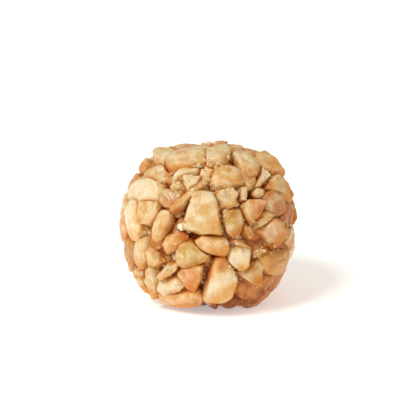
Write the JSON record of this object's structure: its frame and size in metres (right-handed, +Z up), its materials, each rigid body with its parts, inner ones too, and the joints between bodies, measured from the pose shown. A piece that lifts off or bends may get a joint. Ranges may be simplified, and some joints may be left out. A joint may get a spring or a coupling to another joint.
{
  "type": "peanut butter bite rolled in chopped peanuts",
  "caption": "Bite-sized ball of peanut butter candy, rolled in chopped roasted peanuts, flat where it rests.",
  "frame": {"origin": "middle of the flat base the ball rests on", "axes": "+Z up, +X to the right and +Y away in the shown view; the shown side faces -Y"},
  "size_m": [0.0375, 0.0378, 0.0335],
  "materials": {
    "nuts": "roasted peanut pieces, pale cream to golden, with a sticky tan-brown coat between them"
  },
  "bodies": {
    "root": {"peanut_bite": "nuts"}
  },
  "joints": []
}
